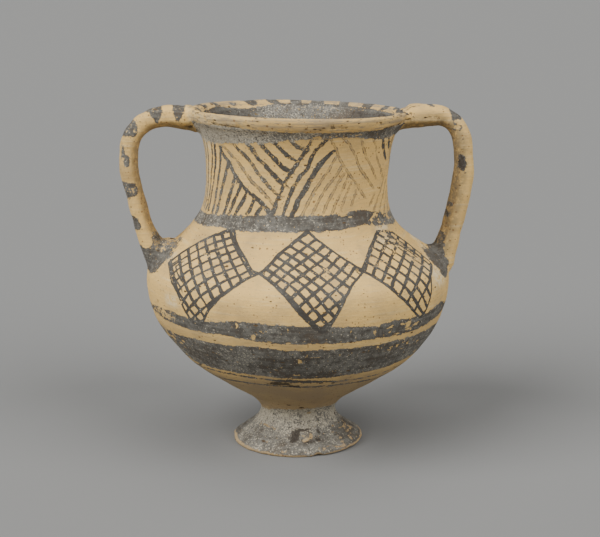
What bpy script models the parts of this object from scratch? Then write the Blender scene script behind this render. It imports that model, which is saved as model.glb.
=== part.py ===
"""A small two-handled jar of fired clay on a conical foot, thrown in one piece.

Lengths are in metres. +Z is up, and the origin is at the middle of the foot, on the ground.
The two handles stand on the -X and +X sides, and the painted front faces -Y.
"""

import math

import bmesh
import bpy
from mathutils import Vector

# Mouth and neck
RIM_HEIGHT = 0.1525
LIP_RADIUS = 0.0487
LIP_HEIGHT = 0.0045
LIP_ROUND = 0.0019
NECK_RADIUS = 0.0407
NECK_LENGTH = 0.0385
MOUTH_LEAN_RIGHT = 0.021
MOUTH_LEAN_BACK = 0.025

# Body
BELLY_RADIUS = 0.0685
BELLY_HEIGHT = 0.0770
WALL = 0.0046
FLOOR = 0.0085

# Foot
WAIST_RADIUS = 0.0170
WAIST_HEIGHT = 0.0150
FOOT_RADIUS = 0.0296
FOOT_EDGE = 0.0011
FOOT_CHAMFER = 0.0006
FOOT_RING = 0.0045
FOOT_HOLLOW = 0.0060

# Handles: the left one was rolled thinner than the right one.
HANDLE_OVERHANG = 0.0065
HANDLE_RISE = 0.0022
HANDLE_BEND = 0.0165
HANDLE_WIDTH = 0.0112
LEFT_THICKNESS = 0.0080
RIGHT_THICKNESS = 0.0092

# Places on the jar, as shares of the stretch that each one lies on
SHOULDER_SWELL = 0.48
SHOULDER_HOLLOW = 0.62
BOWL_SWELL = 0.58
BOWL_HOLLOW = 0.13
LANDING_SHARE = 0.22
LEG_SWEEP = 1.6

# Fineness of the facets
SIDES = 60
FOOT_STEPS = 5
BOWL_STEPS = 9
SHOULDER_STEPS = 8
NECK_STEPS = 6
LIP_STEPS = 5
HOLLOW_STEPS = 3
HANDLE_STEPS = 5
HANDLE_ROUNDNESS = 4
WELD_DISTANCE = 0.00002

CLAY_COLOUR = (0.56, 0.42, 0.235, 1.0)
CLAY_ROUGHNESS = 0.85

NECK_FOOT = RIM_HEIGHT - NECK_LENGTH
LIP_UNDERSIDE = RIM_HEIGHT - LIP_HEIGHT


def clear_scene():
    for obj in list(bpy.data.objects):
        bpy.data.objects.remove(obj)


def make_collection(name):
    collection = bpy.data.collections.new(name)
    bpy.context.scene.collection.children.link(collection)
    return collection


def make_clay():
    material = bpy.data.materials.new("buff_clay")
    material.use_nodes = True
    shader = material.node_tree.nodes["Principled BSDF"]
    shader.inputs["Base Color"].default_value = CLAY_COLOUR
    shader.inputs["Roughness"].default_value = CLAY_ROUGHNESS
    shader.inputs["Metallic"].default_value = 0.0
    return material


def bezier(start, leave, arrive, end, steps):
    """Points of a cubic curve in the (radius, height) plane, with its end and without its start."""
    points = []
    for step in range(1, steps + 1):
        t = step / steps
        s = 1 - t
        weights = (s**3, 3 * s * s * t, 3 * s * t * t, t**3)
        corners = (start, leave, arrive, end)
        radius = sum(weight * corner[0] for weight, corner in zip(weights, corners))
        height = sum(weight * corner[1] for weight, corner in zip(weights, corners))
        points.append((radius, height))
    return points


def lip_edge():
    """The rounded outer edge of the lip, from its top down to its underside."""
    middle = RIM_HEIGHT - LIP_HEIGHT / 2
    points = []
    for step in range(LIP_STEPS + 1):
        turn = math.pi * (0.5 - step / LIP_STEPS)
        radius = LIP_RADIUS - LIP_ROUND + LIP_ROUND * math.cos(turn)
        points.append((radius, middle + LIP_HEIGHT / 2 * math.sin(turn)))
    return points


def neck_shoulder_bowl():
    """The outer surface from under the lip, down the neck and over the shoulder, to the waist."""
    under_lip = (LIP_RADIUS - LIP_ROUND, LIP_UNDERSIDE)
    neck_foot = (NECK_RADIUS, NECK_FOOT)
    flare = (LIP_RADIUS - LIP_ROUND - NECK_RADIUS) * 0.15
    neck = bezier(
        under_lip,
        (NECK_RADIUS + flare, LIP_UNDERSIDE - NECK_LENGTH * 0.19),
        (NECK_RADIUS, NECK_FOOT + NECK_LENGTH * 0.49),
        neck_foot,
        NECK_STEPS,
    )
    rise = NECK_FOOT - BELLY_HEIGHT
    belly = (BELLY_RADIUS, BELLY_HEIGHT)
    shoulder = bezier(
        neck_foot,
        (NECK_RADIUS, NECK_FOOT - rise * SHOULDER_HOLLOW),
        (BELLY_RADIUS, BELLY_HEIGHT + rise * SHOULDER_SWELL),
        belly,
        SHOULDER_STEPS,
    )
    drop = BELLY_HEIGHT - WAIST_HEIGHT
    bowl = bezier(
        belly,
        (BELLY_RADIUS, BELLY_HEIGHT - drop * BOWL_SWELL),
        (WAIST_RADIUS, WAIST_HEIGHT + drop * BOWL_HOLLOW),
        (WAIST_RADIUS, WAIST_HEIGHT),
        BOWL_STEPS,
    )
    return [under_lip] + neck + shoulder + bowl


def foot_and_underside():
    """The conical foot below the waist, its flat standing ring and the hollow inside the ring."""
    edge = (FOOT_RADIUS, FOOT_EDGE)
    spread = FOOT_RADIUS - WAIST_RADIUS
    height = WAIST_HEIGHT - FOOT_EDGE
    cone = bezier(
        (WAIST_RADIUS, WAIST_HEIGHT),
        (WAIST_RADIUS, WAIST_HEIGHT - height * 0.5),
        (FOOT_RADIUS - spread * 0.55, FOOT_EDGE + height * 0.3),
        edge,
        FOOT_STEPS,
    )
    ring_inside = (FOOT_RADIUS - FOOT_RING, 0.0)
    hollow = bezier(
        ring_inside,
        (ring_inside[0] * 0.8, FOOT_HOLLOW * 0.8),
        (ring_inside[0] * 0.4, FOOT_HOLLOW),
        (0.0, FOOT_HOLLOW),
        HOLLOW_STEPS,
    )
    return cone + [(FOOT_RADIUS - FOOT_CHAMFER, 0.0), ring_inside] + hollow


def inset(path, distance):
    """The path moved sideways into the clay, for a path that runs down the outside."""
    moved = []
    for index, (radius, height) in enumerate(path):
        before = path[max(index - 1, 0)]
        after = path[min(index + 1, len(path) - 1)]
        along = Vector((after[0] - before[0], after[1] - before[1])).normalized()
        moved.append((radius + along.y * distance, height - along.x * distance))
    return moved


def outside_profile():
    return [(0.0, RIM_HEIGHT)] + lip_edge() + neck_shoulder_bowl()[1:] + foot_and_underside()


def cavity_profile():
    """The empty inside, one wall in from the outside, open at the mouth and with a rounded floor."""
    mouth = LIP_RADIUS - LIP_ROUND * 1.5
    above = RIM_HEIGHT + LIP_HEIGHT * 2
    floor = WAIST_HEIGHT + FLOOR
    below_lip = neck_shoulder_bowl()
    walls = [
        point
        for point in inset(below_lip, WALL)
        if floor + WALL / 4 < point[1] < RIM_HEIGHT - WALL / 8
    ]
    last = walls[-1]
    bottom = [(last[0] * 0.7, floor + (last[1] - floor) * 0.2), (0.0, floor)]
    return [(0.0, above), (mouth, above), (mouth, RIM_HEIGHT)] + walls + bottom


def lean_mouth(mesh):
    """The mouth sank a little to the right and to the back while the clay was soft."""
    for vertex in mesh.vertices:
        share = (vertex.co.z - NECK_FOOT) / NECK_LENGTH
        share = min(max(share, 0.0), 1.0)
        slope = MOUTH_LEAN_RIGHT * vertex.co.x + MOUTH_LEAN_BACK * vertex.co.y
        vertex.co.z -= share * slope


def evaluated_mesh(obj):
    """The object's shape with its modifiers or curve bevel worked out, as a closed mesh."""
    graph = bpy.context.evaluated_depsgraph_get()
    mesh = bpy.data.meshes.new_from_object(obj.evaluated_get(graph))
    shape = bmesh.new()
    shape.from_mesh(mesh)
    bmesh.ops.remove_doubles(shape, verts=shape.verts, dist=WELD_DISTANCE)
    shape.to_mesh(mesh)
    shape.free()
    return mesh


def turned(name, profile, collection):
    """A solid turned from a profile that runs down its outer side, with the mouth leaning."""
    mesh = bpy.data.meshes.new(name + "_profile")
    points = [(radius, 0.0, height) for radius, height in profile]
    mesh.from_pydata(points, [(i, i + 1) for i in range(len(points) - 1)], [])
    guide = bpy.data.objects.new(name + "_profile", mesh)
    collection.objects.link(guide)
    screw = guide.modifiers.new("turn", "SCREW")
    screw.axis = "Z"
    screw.angle = math.tau
    screw.steps = SIDES
    screw.render_steps = SIDES
    screw.use_merge_vertices = True
    screw.merge_threshold = WELD_DISTANCE
    solid = evaluated_mesh(guide)
    bpy.data.objects.remove(guide)
    lean_mouth(solid)
    obj = bpy.data.objects.new(name, solid)
    collection.objects.link(obj)
    return obj


def radius_at(height):
    """The outer radius of the shoulder at a height between the belly and the neck."""
    path = neck_shoulder_bowl()
    for upper, lower in zip(path, path[1:]):
        if lower[1] <= height <= upper[1]:
            share = (height - lower[1]) / (upper[1] - lower[1])
            return lower[0] + share * (upper[0] - lower[0])
    return BELLY_RADIUS


def handle_path(thickness):
    """Places along a handle's middle line, as (radius, height, thickness factor)."""
    reach = BELLY_RADIUS + HANDLE_OVERHANG
    crest = RIM_HEIGHT + HANDLE_RISE - thickness * 0.62
    landing = BELLY_HEIGHT + LANDING_SHARE * (NECK_FOOT - BELLY_HEIGHT)
    shore = radius_at(landing)
    corner = HANDLE_BEND * (1 - math.sqrt(0.5))
    elbow = crest - HANDLE_BEND
    path = [
        (NECK_RADIUS - WALL / 2, crest - thickness * 0.8, 1.25),
        (LIP_RADIUS, crest - thickness * 0.1, 1.3),
        (reach - HANDLE_BEND * 1.15, crest, 1.15),
        (reach - corner, crest - corner, 1.0),
    ]
    for share in (0.0, 0.2, 0.5, 0.8):
        inward = (reach - shore) * share**LEG_SWEEP
        path.append((reach - inward, elbow - (elbow - landing) * share, 1.0 + share**3 * 0.1))
    path.append((shore, landing, 1.2))
    path.append((shore - WALL, landing - thickness * 0.9, 0.9))
    return path


def handle(name, side, thickness, collection):
    """One handle, from the neck under the lip out and down to the shoulder."""
    curve = bpy.data.curves.new(name, "CURVE")
    curve.dimensions = "3D"
    curve.bevel_depth = thickness / 2
    curve.bevel_resolution = HANDLE_ROUNDNESS
    curve.resolution_u = HANDLE_STEPS
    curve.use_fill_caps = True
    path = handle_path(thickness)
    spline = curve.splines.new("BEZIER")
    spline.bezier_points.add(len(path) - 1)
    for knot, (radius, height, factor) in zip(spline.bezier_points, path):
        knot.co = (side * radius, 0.0, height)
        knot.radius = factor
        knot.handle_left_type = "AUTO"
        knot.handle_right_type = "AUTO"
    guide = bpy.data.objects.new(name + "_guide", curve)
    collection.objects.link(guide)
    mesh = evaluated_mesh(guide)
    widening = HANDLE_WIDTH / thickness
    for vertex in mesh.vertices:
        vertex.co.y *= widening
    tube = bpy.data.objects.new(name, mesh)
    collection.objects.link(tube)
    tube.matrix_world = guide.matrix_world
    bpy.data.objects.remove(guide)
    return tube


def combine(target, operation, other):
    boolean = target.modifiers.new(operation.lower() + "_" + other.name, "BOOLEAN")
    boolean.operation = operation
    boolean.solver = "EXACT"
    boolean.object = other


def main():
    clear_scene()
    parts = make_collection("amphoriskos_parts")
    helpers = make_collection("helpers")
    jar = turned("amphoriskos", outside_profile(), parts)
    left = handle("left_handle", -1, LEFT_THICKNESS, helpers)
    right = handle("right_handle", 1, RIGHT_THICKNESS, helpers)
    cavity = turned("cavity", cavity_profile(), helpers)
    combine(jar, "UNION", left)
    combine(jar, "UNION", right)
    combine(jar, "DIFFERENCE", cavity)
    for helper in (left, right, cavity):
        helper.hide_render = True
        helper.display_type = "WIRE"
    jar.data.materials.append(make_clay())
    jar.data.shade_smooth()
    jar.data.set_sharp_from_angle(angle=math.radians(40))


main()
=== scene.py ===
"""A small two-handled jar of buff clay with dark painted bands, hatching and lozenges."""

import math

import bpy
import numpy as np
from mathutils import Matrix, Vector, noise


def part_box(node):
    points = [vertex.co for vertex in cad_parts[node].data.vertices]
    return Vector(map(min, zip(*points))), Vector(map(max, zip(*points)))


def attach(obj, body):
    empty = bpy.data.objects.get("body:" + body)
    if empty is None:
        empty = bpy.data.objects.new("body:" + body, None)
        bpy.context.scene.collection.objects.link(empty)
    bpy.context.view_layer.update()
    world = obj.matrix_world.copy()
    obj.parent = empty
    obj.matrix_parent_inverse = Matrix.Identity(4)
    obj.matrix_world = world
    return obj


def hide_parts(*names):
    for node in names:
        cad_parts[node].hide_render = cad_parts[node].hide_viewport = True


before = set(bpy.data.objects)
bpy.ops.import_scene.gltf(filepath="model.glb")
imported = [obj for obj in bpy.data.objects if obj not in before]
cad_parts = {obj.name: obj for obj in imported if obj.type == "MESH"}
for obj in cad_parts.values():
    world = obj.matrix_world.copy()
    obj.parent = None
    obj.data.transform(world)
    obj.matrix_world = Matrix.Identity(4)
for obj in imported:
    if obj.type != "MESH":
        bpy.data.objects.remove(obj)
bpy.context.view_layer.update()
JAR_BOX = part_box("amphoriskos")

bl_info = {
    "name": "Painted two-handled jar",
    "version": (1, 0, 0),
    "blender": (4, 5, 0),
    "location": "View3D > Sidebar > Jar",
    "description": "Models a small painted clay jar with two handles, and its studio",
    "category": "Object",
}

MM = 0.001

# The turned outer side from the lip's top edge down to the foot's edge, as (radius, height) in mm.
OUTSIDE = (
    (48.35, 151.9), (48.3, 150.4), (47.75, 148.6), (46.7, 147), (45.55, 146.1), (44.85, 145.2), (43.3, 141.8), (41.75,
    136.4), (40.85, 128.5), (40.7, 117.8), (42.1, 109), (45.8, 101.9), (51.8, 95.7), (59, 90.3), (64.6, 85.9), (67.6,
    81.5), (68.3, 76.6), (67.9, 71.5), (66.6, 65.6), (63.4, 57.6), (57.5, 48.9), (50.3, 40.8), (38.9, 32.8), (29.4,
    26.6), (22.5, 22.2), (19, 19), (17.45, 16.8), (17, 15.1), (17.3, 13.3), (18.65, 10.6), (21.7, 7.5), (25.3, 4.8),
    (28.2, 2.6), (29.6, 1.6), (30.1, 1), (30.1, 0.4),
)
# The foot's edge, its standing ring and the hollow under it.
UNDERSIDE = (
    (29.4, 0), (25.4, 0), (24.2, 0.9), (19.5, 4.6), (9.5, 6), (0, 6),
)
# The rim's top and the cavity, from the floor's middle up to the lip.
INSIDE = (
    (0, 23.5), (9, 24), (16.5, 25.4), (25.2, 29.2), (35.9, 36.6), (46, 45.2), (53.3, 52.8), (59.3, 61.8), (62.2, 69),
    (63.6, 76.4), (62.9, 80.8), (60.4, 84.3), (54.9, 88.2), (47.8, 92.8), (41.6, 98.6), (38.2, 104.2), (36.7, 109.5),
    (36.1, 117), (36.4, 128.5), (37.4, 137), (38.6, 143.2), (40, 146.5), (42.3, 149.2), (44.5, 151.6), (46, 152.35),
    (47.2, 152.6), (48, 152.4),
)

# The middle line of each handle from the neck to the shoulder, as (radius, height, thickness) in mm.
LEFT_HANDLE = (
    (40, 144.8, 8.4), (45, 147.6, 10.2), (49.8, 149, 10.8), (54.6, 149.6, 10.1), (60.8, 149.4, 9.3), (66.2, 147.9,
    8.4), (71.4, 143.7, 8.3), (74.1, 138.8, 8.5), (74.9, 133.9, 8.1), (74.9, 126.1, 8.4), (73.9, 120.7, 8), (72.5,
    115.3, 7.7), (71.4, 109.9, 8), (69.9, 104.4, 7.9), (68.2, 98.9, 8.5), (66, 93.2, 10.2), (63.9, 87.8, 11.2), (62.8,
    82.5, 10.4), (61.8, 77, 8),
)
RIGHT_HANDLE = (
    (40, 144.4, 8.4), (44.8, 147.3, 10.2), (49.6, 148.6, 10.8), (54.5, 149, 10.9), (59.5, 149.2, 9.9), (64.8, 148.8,
    8.5), (69.7, 146, 8.3), (72.7, 141.8, 8.7), (74.3, 136.8, 8.8), (75, 129.5, 8.6), (75.1, 124.1, 9.1), (74.4, 118.6,
    9.3), (73.8, 113.1, 9.5), (72.6, 107.6, 9.6), (71.3, 102.1, 9.4), (70.1, 97, 9.3), (68.8, 92.6, 10.4), (67, 87.6,
    11.6), (65.6, 82.6, 12), (64, 77.6, 10), (62.4, 72.6, 7),
)
# Clay thumbed into the crotch under the left handle, as (x, y, z) of the middle and half sizes, in mm.
CROTCH = (-58.7, 0.0, 90.0, 6.6, 7.5, 4.7)

# How far the jar's axis strays sideways, from the wheel and the drying: heights and strays in mm.
AXIS_STRAY = (
    (0, 25, 37, 50, 62, 84, 93, 98, 103, 109, 115, 121, 130, 160),
    (0, 0.1, 0.6, 0.6, 0, 0, -0.9, -1.45, -1.45, -1, -0.65, -0.55, 0, 0),
)

# Solid bands of paint: degrees from the front, then the upper and the lower edge in mm down from the lip.
UNDER_LIP_BAND = (
    (-90, -73, -60, -50, -40, -30, -20, -10, 0, 10, 20, 30, 40, 50, 60, 70, 90),
    (5, 5, 5, 5, 5, 5.2, 5.5, 5.8, 6.1, 6.3, 6.3, 6.2, 6, 5.5, 5.2, 5, 5),
    (13.5, 14.4, 14.4, 13.6, 13, 12.4, 11.6, 10.5, 9.9, 9.7, 9.3, 9.9, 10.7, 11.9, 11.2, 10.8, 13.5),
)
NECK_FOOT_BAND = (
    (-90, -80, -70, -60, -50, -40, -30, -20, -10, 0, 10, 20, 25, 30, 40, 45, 50, 56, 62, 70, 90),
    (46.5, 46, 45.8, 44.9, 44, 43.3, 42.8, 42.3, 42.3, 42.6, 42.4, 42.3, 42.9, 41.4, 41.8, 42.9, 43.8, 44.6, 45.6,
     46.2, 46.5),
    (52.2, 51.8, 51.5, 50.2, 50, 50, 49.8, 49.5, 49.3, 49.2, 49.5, 49.3, 49, 48.5, 48.6, 49, 50.2, 50.6, 51.4, 52.4,
     52.2),
)
UPPER_BAND = (
    (-90, -78, -68, -58, -50, -42, -35, -28, -22, -14, -8, 0, 10, 20, 25, 27, 33, 38, 50, 57, 63, 70, 90),
    (98, 97, 95, 94.6, 95.6, 95.6, 94.8, 93.5, 93.3, 93.8, 94.3, 94.5, 95.2, 96, 97, 95.8, 95.5, 96.2, 96, 95, 94,
     96.5, 98),
    (100.5, 100.2, 100.4, 100.8, 101.2, 101, 100.7, 101, 101.7, 102.7, 102.9, 102.6, 103, 103, 102.8, 102.8, 102.9,
     103.2, 102.8, 101.8, 101.2, 100.5, 100.5),
)
LOWER_BAND = (
    (-90, -70, -60, -50, -40, -30, -25, -18, -12, -5, 5, 12, 20, 28, 35, 45, 55, 65, 90),
    (106.3, 106.6, 106.5, 105.8, 105.7, 105.8, 105, 105, 106, 106, 106, 106.1, 106.2, 106.3, 105.5, 106, 106.2, 105.6,
     106.3),
    (123.8, 124, 124.2, 124.3, 124, 124, 124, 124.4, 125, 125.3, 125, 124.8, 124.3, 124, 123.6, 123, 122.4, 122.6,
     123.8),
)
UPPER_LINE = (
    (-90, -70, -60, -50, -40, -30, -20, -12, 0, 6, 12, 20, 40, 50, 70, 90),
    (127.4, 126.9, 126.2, 125.8, 125.6, 125.9, 126.2, 126.2, 126.4, 127.4, 128.4, 128.8, 128.6, 128.2, 127.8, 127.4),
    (128.6, 128.1, 127.4, 126.8, 126.6, 126.9, 127.4, 128.6, 128.9, 129.1, 129.6, 129.7, 129.5, 129, 128.9, 128.6),
)
LOWER_LINE = (
    (-90, -60, -42, -35, -25, -15, -5, 5, 12, 20, 30, 40, 60, 90),
    (134.6, 134.2, 132.4, 131.8, 131.7, 132.1, 132.6, 132.6, 132.3, 132.3, 132.6, 133.4, 134.4, 134.6),
    (135.8, 135.6, 133.8, 133.1, 133, 133.5, 134.2, 134.2, 133.7, 133.7, 134, 134.6, 135.6, 135.8),
)
FOOT_PAINT = (
    (-90, -80, -65, -50, -35, -20, -5, 5, 20, 35, 50, 65, 78, 90),
    (171.5, 171.2, 170.8, 170, 168.4, 167.8, 167.3, 167, 167.2, 167.5, 168, 168.8, 170.2, 171.5),
    (189.8, 190.3, 190.9, 191.2, 191.6, 191.8, 192.1, 192.2, 192.2, 191.8, 191.5, 191.3, 190.7, 190),
)
# Each band with its lime crust: degrees from the front, then amounts.
BANDS = (
    (UNDER_LIP_BAND, ((-90, -50, -25, 0, 20, 90), (1.5, 1.35, 1.1, 0.85, 0.5, 0.3))),
    (NECK_FOOT_BAND, ((-90, -40, 0, 30, 45, 65, 90), (0.65, 0.38, 0.22, 0.2, 0.16, 0.3, 0.5))),
    (UPPER_BAND, ((-90, -60, -30, 0, 30, 90), (0.22, 0.06, 0.1, 0.2, 0.14, 0.1))),
    (LOWER_BAND, ((-90, -62, -40, 0, 90), (0.55, 0.46, 0.34, 0.28, 0.4))),
    (UPPER_LINE, ((-90, 90), (0.2, 0.1))),
    (LOWER_LINE, ((-90, 90), (0.2, 0.1))),
    (FOOT_PAINT, ((-90, -40, 0, 25, 50, 90), (0.6, 0.66, 0.6, 0.4, 0.2, 0.2))),
)

# Brush strokes on the neck in four sets, each from left to right: weight, degrees, mm down.
STROKES = {
    "upright": (
        (0.55, (-84.5, -88.5, -90), (10, 25, 44)),
        (0.6, (-79.5, -83.5, -85), (10, 25, 44)),
        (0.65, (-74, -78.5, -80.5), (11, 25, 45)),
        (0.65, (-66, -69.7, -73.2, -76), (12, 21.6, 29.8, 45)),
        (0.75, (-61.5, -64.3, -67.5, -71, -72.4), (11, 18.5, 28, 37.1, 45)),
        (0.85, (-56, -59, -60.5, -62.4, -64.3, -66), (15.5, 20.7, 24.8, 29.8, 36.2, 45)),
        (1.1, (-51.2, -53.6, -55.8, -57.7, -59.6, -61.2), (22, 26.2, 30.3, 33.9, 38.9, 45)),
        (0.9, (-46, -47.8, -49.7, -51.7, -53.4), (27, 32.1, 35.7, 38.9, 44.5)),
        (0.8, (-40.6, -42.4, -45, -47.5, -49.2), (30.5, 33.5, 37.1, 40.7, 44.2)),
        (0.85, (-36.2, -38.3, -41.2, -43.9), (33, 36.6, 39.8, 43.8)),
        (0.9, (-31.1, -32.9, -35.7), (35.8, 39.4, 43)),
        (0.9, (-25.3, -27.8, -29.4), (38.5, 40.7, 43)),
    ),
    "slanting": (
        (1.05, (-58, -53.9, -50.7, -46.3, -42.4, -34.8, -29.7, -24.7, -19), (15.6, 20.3, 21.8, 26.6, 29.4, 33.5, 35.7,
         38.5, 42.5)),
        (0.5, (-53.2, -46.3, -42.4, -38.6, -33.6, -27.2, -23.4, -17), (15.5, 19.4, 21.6, 24.8, 28.5, 32.1, 34.4,
         38.9)),
        (0.68, (-46, -43.1, -36.1, -32.3, -29.7, -25.9, -21.5, -13.9), (12.3, 15, 19.1, 22.1, 24.8, 27.5, 30.7, 34.8)),
        (1, (-35.4, -31.7, -28.5, -25.3, -17.7, -11.3), (12.2, 15.7, 18.9, 21.2, 26.6, 30.3)),
        (0.95, (-27.4, -24, -20.9, -17.7, -13.9, -8.8), (11.6, 14.4, 17.1, 19.4, 22.1, 24.4)),
        (0.95, (-18.8, -15.8, -12.6, -9.4, -6), (10.8, 13.5, 15.7, 18, 19.8)),
        (0.7, (-8.9, -5.7, -1.3, 0.6), (10.2, 13, 14.4, 14.8)),
    ),
    "counter": (
        (0.75, (3, 1.2, -0.3, -3.8, -8.3, -10.8, -14.6, -17.2, -19), (9.8, 13, 15.3, 18.5, 23.9, 26.6, 32.5, 37.1,
         42.5)),
        (0.78, (10.8, 8.2, 5.7, 3.8, 2.2, 0.6, -2.6, -6.4, -10.2, -12.7), (10, 12.5, 14.4, 16.6, 19.8, 23, 25.3, 29.8,
         36.2, 42.8)),
        (1.25, (16.2, 13.3, 10.1, 7.6, 5, 2.5, 0.6, -3.8, -7.7), (15.2, 17.1, 19.4, 21.6, 24.8, 27.5, 30.7, 36.2,
         42.8)),
        (0.38, (18.4, 14.6, 10.1, 6.3, 3.1, -1.9), (17.5, 22.5, 27.1, 31.2, 35.3, 42.5)),
        (0.4, (22.2, 17.7, 13.9, 10.8, 7.6, 4.4), (21.6, 27.1, 29.8, 33.5, 37.1, 42)),
        (0.34, (24.1, 20.3, 17.1, 13.3, 11.4), (25.3, 29.4, 33.5, 38, 41.5)),
        (0.34, (27.3, 25.4, 22.8, 19.7, 17.1), (26.2, 29.8, 33.5, 37.1, 41.5)),
        (0.28, (29.6, 27, 24.6, 22.3), (29.8, 33.5, 37.1, 40.8)),
        (0.24, (33.6, 30.4), (33, 39)),
        (0.26, (51.3, 46), (35.7, 40.5)),
        (0.34, (64.2, 62.2, 55.6, 50.5), (29.4, 33, 37.9, 42.5)),
        (0.3, (70.1, 65.8, 61.7, 56.1), (31.9, 35.9, 39.9, 44.5)),
        (0.36, (73.7, 68.3, 62.5), (35.5, 41, 45.8)),
        (0.4, (77.4, 73.9, 69.4), (37.6, 42.9, 46.8)),
    ),
    "returning": (
        (0.36, (13.6, 17.1, 19, 20.9, 24.1, 29.2, 34.3, 41.9), (10, 14.4, 17.1, 19.8, 23, 27.1, 30.7, 37.1)),
        (0.36, (21.6, 25.4, 29.2, 33, 36.8, 41.9, 50.1), (10, 12.5, 16.2, 20.7, 24.8, 28, 33.5)),
        (0.34, (32.6, 36.8, 40, 43.8, 48.2, 52), (10.2, 15.7, 19.4, 22.1, 26.2, 29.4)),
        (0.38, (41.9, 47, 51.1, 54.6, 59.5, 63), (10.7, 14.8, 21.2, 23.7, 27.5, 31.5)),
        (1, (52.3, 55.8, 60, 63.5), (11.6, 15.3, 18.9, 22)),
        (0.85, (60, 63.5, 66.8), (11.6, 14.5, 17.4)),
        (0.6, (68, 72.5, 74.5, 75), (10, 25, 40, 45)),
        (0.6, (74, 78, 79.8, 80.2), (10, 25, 40, 45)),
        (0.6, (80.5, 83.5, 85, 85.2), (10, 25, 40, 45)),
    ),
}

# Lozenges: how fine the outline is at the upper left, upper right, lower right and lower left, between which
# bearings (degrees from the left, turning upwards) it is doubled, two bending sets of hatching whose whole
# numbers are the strokes, and the outline's corners: degrees, mm down. Each set is a cubic surface in a and b,
# the places off the middle in degrees and mm as shares of LOZENGE_UNIT, with the weights of
# 1, a, b, aa, ab, bb, aaa, aab, abb and bbb.
LOZENGES = (
    {
        "middle": (1.95, 71.5), "doubled": (0, 0), "fineness": (1.6, 1.7, 1.25, 0.95),
        "falling": (3.617, 4.593, -3.644, -0.2, 2.119, -0.012, -0.764, 0.162, -1.17, -0.196),
        "rising": (1.271, -3.372, -4.019, 0.23, -1.155, 0.11, -1.084, 0.139, 0.014, -0.241),
        "outline": (
            (2, -1, -4, -6.5, -9.5, -12, -13.8, -15, -16.5, -18, -20.2, -17.5, -15, -12.5, -10, -7.5, -4.8, -2.5, -0.2,
             1, 3.5, 5.5, 6.5, 8.5, 10.5, 12, 14.5, 17, 20, 24, 22.2, 20.5, 18.5, 16.5, 14.5, 12, 9, 6),
            (48.2, 50.6, 52.5, 54.5, 56.8, 58.9, 61, 63.2, 65.8, 68, 70.4, 72.8, 75, 77.5, 80.5, 83.8, 87.5, 90.8,
             93.5, 95.2, 97.2, 96.4, 94, 90, 86, 82.8, 79, 76.2, 73.8, 70.5, 68.5, 66, 64, 61.5, 59.2, 56.8, 54.2, 52),
        ),
    },
    {
        "middle": (-45.25, 72.35), "doubled": (-70, 12), "fineness": (1.7, 1.2, 1.3, 1.5),
        "falling": (3.271, 3.93, -3.812, 0.498, 0.822, 0.042, -0.319, -0.07, 0.511, -0.233),
        "rising": (2.107, -3.354, -3.079, 0.472, -1.529, 0.693, -0.239, 0.732, -0.199, -1.346),
        "outline": (
            (-41, -46, -48, -50.5, -53.5, -56.5, -59.5, -62.5, -65, -67, -68.5, -69.2, -69.8, -70.2, -67.5, -64.5,
             -61.5, -58.5, -55.5, -53.5, -51.5, -50, -48.5, -47, -43, -41.5, -40.5, -39, -37.5, -35.5, -33.5, -31.5,
             -29, -26.5, -24, -20.6, -23.5, -26, -28, -31, -34, -37, -39),
            (50, 50.4, 51.4, 52.8, 54, 55.5, 57.2, 59.5, 62, 64.5, 67, 69.5, 72, 74.2, 75.5, 77.2, 79.5, 82, 83.8,
             85.5, 88.5, 91.5, 94, 96.5, 98, 96.5, 94.5, 91.5, 89, 86.5, 84, 81.8, 78.8, 76, 73.5, 70.8, 69.2, 66.5,
             63.5, 60.5, 57.8, 55, 52.5),
        ),
    },
    {
        "middle": (47.25, 71), "doubled": (85, 190), "fineness": (1.15, 1.7, 1.7, 1.25),
        "falling": (3.4, 4.392, -1.225, 0.605, 1.683, 0.46, -0.307, 0.3, -0.337, -1.852),
        "rising": (3.634, -2.572, -5.034, 0.637, -0.907, 0.423, -0.47, 0.109, 0.396, 1.191),
        "outline": (
            (23.5, 26, 29, 32, 35, 38, 41, 44, 47, 52, 57, 61, 63, 64.8, 65.8, 66, 65.8, 65.2, 64.5, 63.5, 61, 58, 55,
             53, 52, 51, 50, 48, 46, 43.5, 40.5, 37.5, 34.5, 31.5, 29.5, 27.5, 25.5),
            (70.5, 67.5, 64.8, 62, 59.8, 57.8, 56, 54, 52.5, 53, 54, 55, 56.8, 58.8, 61.5, 64.5, 68, 71, 74, 76.5,
             77.8, 79.2, 80.5, 84, 87.5, 90.5, 93.5, 97, 97, 95, 92, 88.5, 85.5, 82, 79, 76, 73),
        ),
    },
)

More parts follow.
